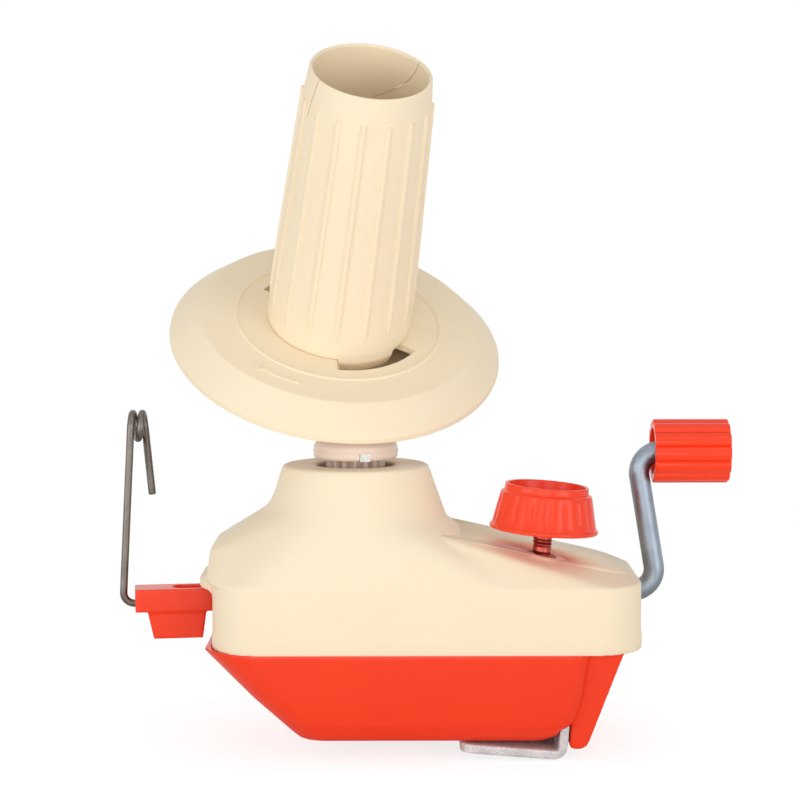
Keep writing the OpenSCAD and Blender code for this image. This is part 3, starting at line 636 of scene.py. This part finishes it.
def guide_wire():
    """Round wire bent up from the arm, with a pigtail eye at its top and a free end that hangs down."""
    points = [(x, 0, 0) for x in WIRE_ROOT]
    for f in range(0, 91, 6):
        a = math.radians(f)
        points.append((ELBOW_X - ELBOW_R * math.sin(a), 0, ELBOW_R - ELBOW_R * math.cos(a)))
    stem = ELBOW_X - ELBOW_R
    points += [(stem + (EYE_X - stem) * k / 12, 0, STEM_LOW + STEM_RISE * k / 12) for k in range(1, 12)]
    for f in range(0, 566, 5):
        a = math.radians(f)
        points.append((EYE_X + EYE_PITCH * f / 360, COIL_R - COIL_R * math.cos(a),
                       EYE_Z + COIL_R * math.sin(a)))
    points += [Vector(TAIL_FROM) + k * Vector(TAIL_STEP) for k in (1, 1.5, 2, 2.5, 3)]
    wire = swept("guide_wire_bent", [(x, y, WIRE_Z + z) for x, y, z in points], WIRE_R, 20, WIRE)
    finish_piece(carried(by_angle(wire, 50), GUIDE), "guide_wire", WIRE)


def ramp(value, start, length):
    """Rises from 0 to 1 over a length."""
    return min(1.0, max(0.0, (value - start) / length))


def roof_melt(x, y, z):
    """Where the neck flows into the roof: under the neck's rim, over the skirt, clear of the deck's edge."""
    band = ramp(z, MELT_LOW, MELT_EDGE) * ramp(-z, -MELT_HIGH, MELT_EDGE)
    below_deck = DECK_Z - (x - DECK_X) * math.tan(math.radians(DECK_SLOPE)) - z
    near_deck = ramp(x, NECK_RIGHT, 9) * (1 - ramp(below_deck, DECK_CLEAR, 4))
    return band * ramp(x, MELT_LEFT, 8) * (1 - near_deck)


def deck_face():
    """The deck's own flat face, from the CAD cover, laid on the eased shell to keep its edge crisp."""
    up = turn("Y", DECK_SLOPE) @ Vector((0, 0, 1))
    spot = Vector((DECK_X, 0, DECK_Z)) * MM
    bm = bmesh.new()
    bm.from_mesh(frame["nodes"]["upper_housing"].data)
    bmesh.ops.remove_doubles(bm, verts=bm.verts, dist=WELD)
    bm.normal_update()
    other = [f for f in bm.faces if f.normal.dot(up) < DECK_ALONG
             or abs((f.calc_center_median() - spot).dot(up)) > DECK_NEAR * MM]
    bmesh.ops.delete(bm, geom=other, context="FACES")
    grown_up = bmesh.ops.extrude_face_region(bm, geom=bm.faces[:], use_keep_orig=True)["geom"]
    raised = {v for v in grown_up if isinstance(v, bmesh.types.BMVert)}
    for v in bm.verts:
        v.co += up * (DECK_RAISED if v in raised else DECK_SUNK) * MM
    bmesh.ops.recalc_face_normals(bm, faces=bm.faces)
    return mesh_object("deck_face", bm, smooth=False)


def clamp_screw():
    """The threaded clamp spindle, its crests drawn a little full so that the turns show."""
    low, high = SCREW_LOW, KNOB_LOW + 6
    profile = [(0.01, low), (ROOT_R - 0.5, low), (ROOT_R, low + 0.6), (ROOT_R, high), (0.01, high)]
    shaft = turned("clamp_screw_threaded", eased(profile, 0.2), 40, Matrix.Identity(4))
    turns = (KNOB_LOW - low - 1.5) / PITCH
    screw = grown(shaft, thread_tree(THREAD_RED_REFLECTION), {"Radius": SCREW_R - CREST_SINK, "Pitch": PITCH,
                                               "Turns": turns, "Start": low + 1})
    finish_piece(carried(by_angle(screw, 40), CLAMP), "clamp_screw", THREAD_RED_REFLECTION)


# Every CAD node gets its finish; the shaped pieces then take the place of theirs
for node, obj in frame["nodes"].items():
    obj.data.materials.clear()
    obj.data.materials.append(SHEARED if node == "head_key" else FINISH[slot_of[node]])

core_wall()
core_ribs()
spool_dish()
lock_arrows()
collar_seam()
clamp_knob()
clamp_screw()
crank_rod()
crank_grip()
guide_wire()
softened("upper_housing", "cover_shell", 0.82, 1, CREAM, melt=roof_melt, melt_rounds=130, crisp=deck_face())
softened("lower_housing", "tub_shell", 0.82, 2, RED)
softened("guide_arm", "arm_block", 0.35, 2, RED)
softened("turntable_head", "collar_and_carrier", 0.4, 2, NYLON)
softened("clamp_bracket", "clamp_plate", 0.35, 4, SHEARED)

# Stage: a plain pale floor, a white surround seen by the camera and by gloss, and soft lamps
FLOOR_R, FLOOR_GAP, FLOOR_LIFT, FADE_FROM, FADE_TO = 1.2, 0.0005, 0.8, 0.12, 0.55
ROOM_LIGHT = 0.58
LAMP_AIM = Vector((0.015, 0, 0.09))
# Lamps: name, place, width and power
LAMPS = (("front_softbox", (-0.2, -1.25, 0.06), 0.9, 3.5), ("right_fill", (0.85, -0.9, 0.06), 0.8, 3.7),
         ("left_fill", (-1.0, -0.75, 0.1), 0.8, 3.4), ("top_softbox", (0.1, -0.6, 1.05), 0.9, 0.95))


def floor():
    """A pale disc that takes the shadow and fades into the white surround."""
    bm = bmesh.new()
    bmesh.ops.create_circle(bm, cap_ends=True, segments=ROUND, radius=FLOOR_R)
    for v in bm.verts:
        v.co.z = cad_box[0][2] - FLOOR_GAP
    obj = mesh_object("floor", bm)
    mat, tree = blank_material("pale_floor")
    seen = add(tree, "ShaderNodeLightPath").outputs["Is Camera Ray"]
    pale = add(tree, "ShaderNodeBsdfDiffuse", Color=srgb("FAFAF8"))
    calm = add(tree, "ShaderNodeBsdfDiffuse", Color=srgb("A6A6A5"))
    paint = add(tree, "ShaderNodeMixShader", n0=seen, n1=pale.outputs["BSDF"], n2=calm.outputs["BSDF"])
    lift = add(tree, "ShaderNodeMath", {"operation": "MULTIPLY"}, n0=seen, n1=FLOOR_LIFT)
    glow = add(tree, "ShaderNodeEmission", Strength=lift.outputs["Value"])
    paper = add(tree, "ShaderNodeAddShader", n0=paint.outputs["Shader"], n1=glow.outputs["Emission"])
    place = add(tree, "ShaderNodeTexCoord").outputs["Object"]
    flat = add(tree, "ShaderNodeVectorMath", {"operation": "MULTIPLY"}, n0=place, n1=(1.0, 1.0, 0.0))
    reach = add(tree, "ShaderNodeVectorMath", {"operation": "LENGTH"}, n0=flat.outputs["Vector"])
    fade = add(tree, "ShaderNodeMapRange", {"interpolation_type": "SMOOTHSTEP"}, Value=reach.outputs["Value"],
               n1=FADE_FROM, n2=FADE_TO, n3=0.0, n4=1.0)
    clear = add(tree, "ShaderNodeBsdfTransparent")
    mix = add(tree, "ShaderNodeMixShader", n0=fade.outputs["Result"], n1=paper.outputs["Shader"],
              n2=clear.outputs["BSDF"])
    add(tree, "ShaderNodeOutputMaterial", Surface=mix.outputs["Shader"])
    obj.data.materials.append(mat)


def surround():
    """White to the camera and to gloss, a dimmer room to all other light."""
    world = bpy.data.worlds.new("surround")
    scene.world = world
    world.use_nodes = True
    tree = world.node_tree
    tree.nodes.clear()
    path = add(tree, "ShaderNodeLightPath")
    seen = add(tree, "ShaderNodeMath", {"operation": "MAXIMUM"}, n0=path.outputs["Is Camera Ray"],
               n1=path.outputs["Is Glossy Ray"])
    room = add(tree, "ShaderNodeBackground", Color=srgb("F4F4F2"), Strength=ROOM_LIGHT)
    white = add(tree, "ShaderNodeBackground", Color=srgb("FFFFFF"), Strength=1.0)
    mix = add(tree, "ShaderNodeMixShader", n0=seen.outputs["Value"], n1=room.outputs["Background"],
              n2=white.outputs["Background"])
    add(tree, "ShaderNodeOutputWorld", Surface=mix.outputs["Shader"])


def soft_lamp(name, place, size, watts):
    """A round soft box that faces the winder."""
    lamp = bpy.data.lights.new(name, "AREA")
    lamp.shape = "DISK"
    lamp.size = size
    lamp.energy = watts
    obj = bpy.data.objects.new(name, lamp)
    scene.collection.objects.link(obj)
    obj.location = place
    obj.rotation_euler = (LAMP_AIM - Vector(place)).to_track_quat("-Z", "Y").to_euler()


def camera():
    """The photograph's own viewpoint and lens."""
    data = bpy.data.cameras.new("photo_camera")
    data.sensor_width = SENSOR_MM
    data.lens = VIEW_DISTANCE / (MM_PER_PIXEL * MM) * SENSOR_MM / PHOTO_SIDE
    data.clip_start = 0.05
    obj = bpy.data.objects.new("photo_camera", data)
    scene.collection.objects.link(obj)
    toward = Vector((0, -math.cos(VIEW_ELEVATION), math.sin(VIEW_ELEVATION)))
    obj.location = VIEW_TARGET + toward * VIEW_DISTANCE
    facing = Matrix.Rotation(math.pi / 2 - VIEW_ELEVATION, 4, "X") @ Matrix.Rotation(-VIEW_ROLL, 4, "Z")
    obj.rotation_euler = facing.to_euler()
    scene.camera = obj


floor()
surround()
for lamp in LAMPS:
    soft_lamp(*lamp)
camera()
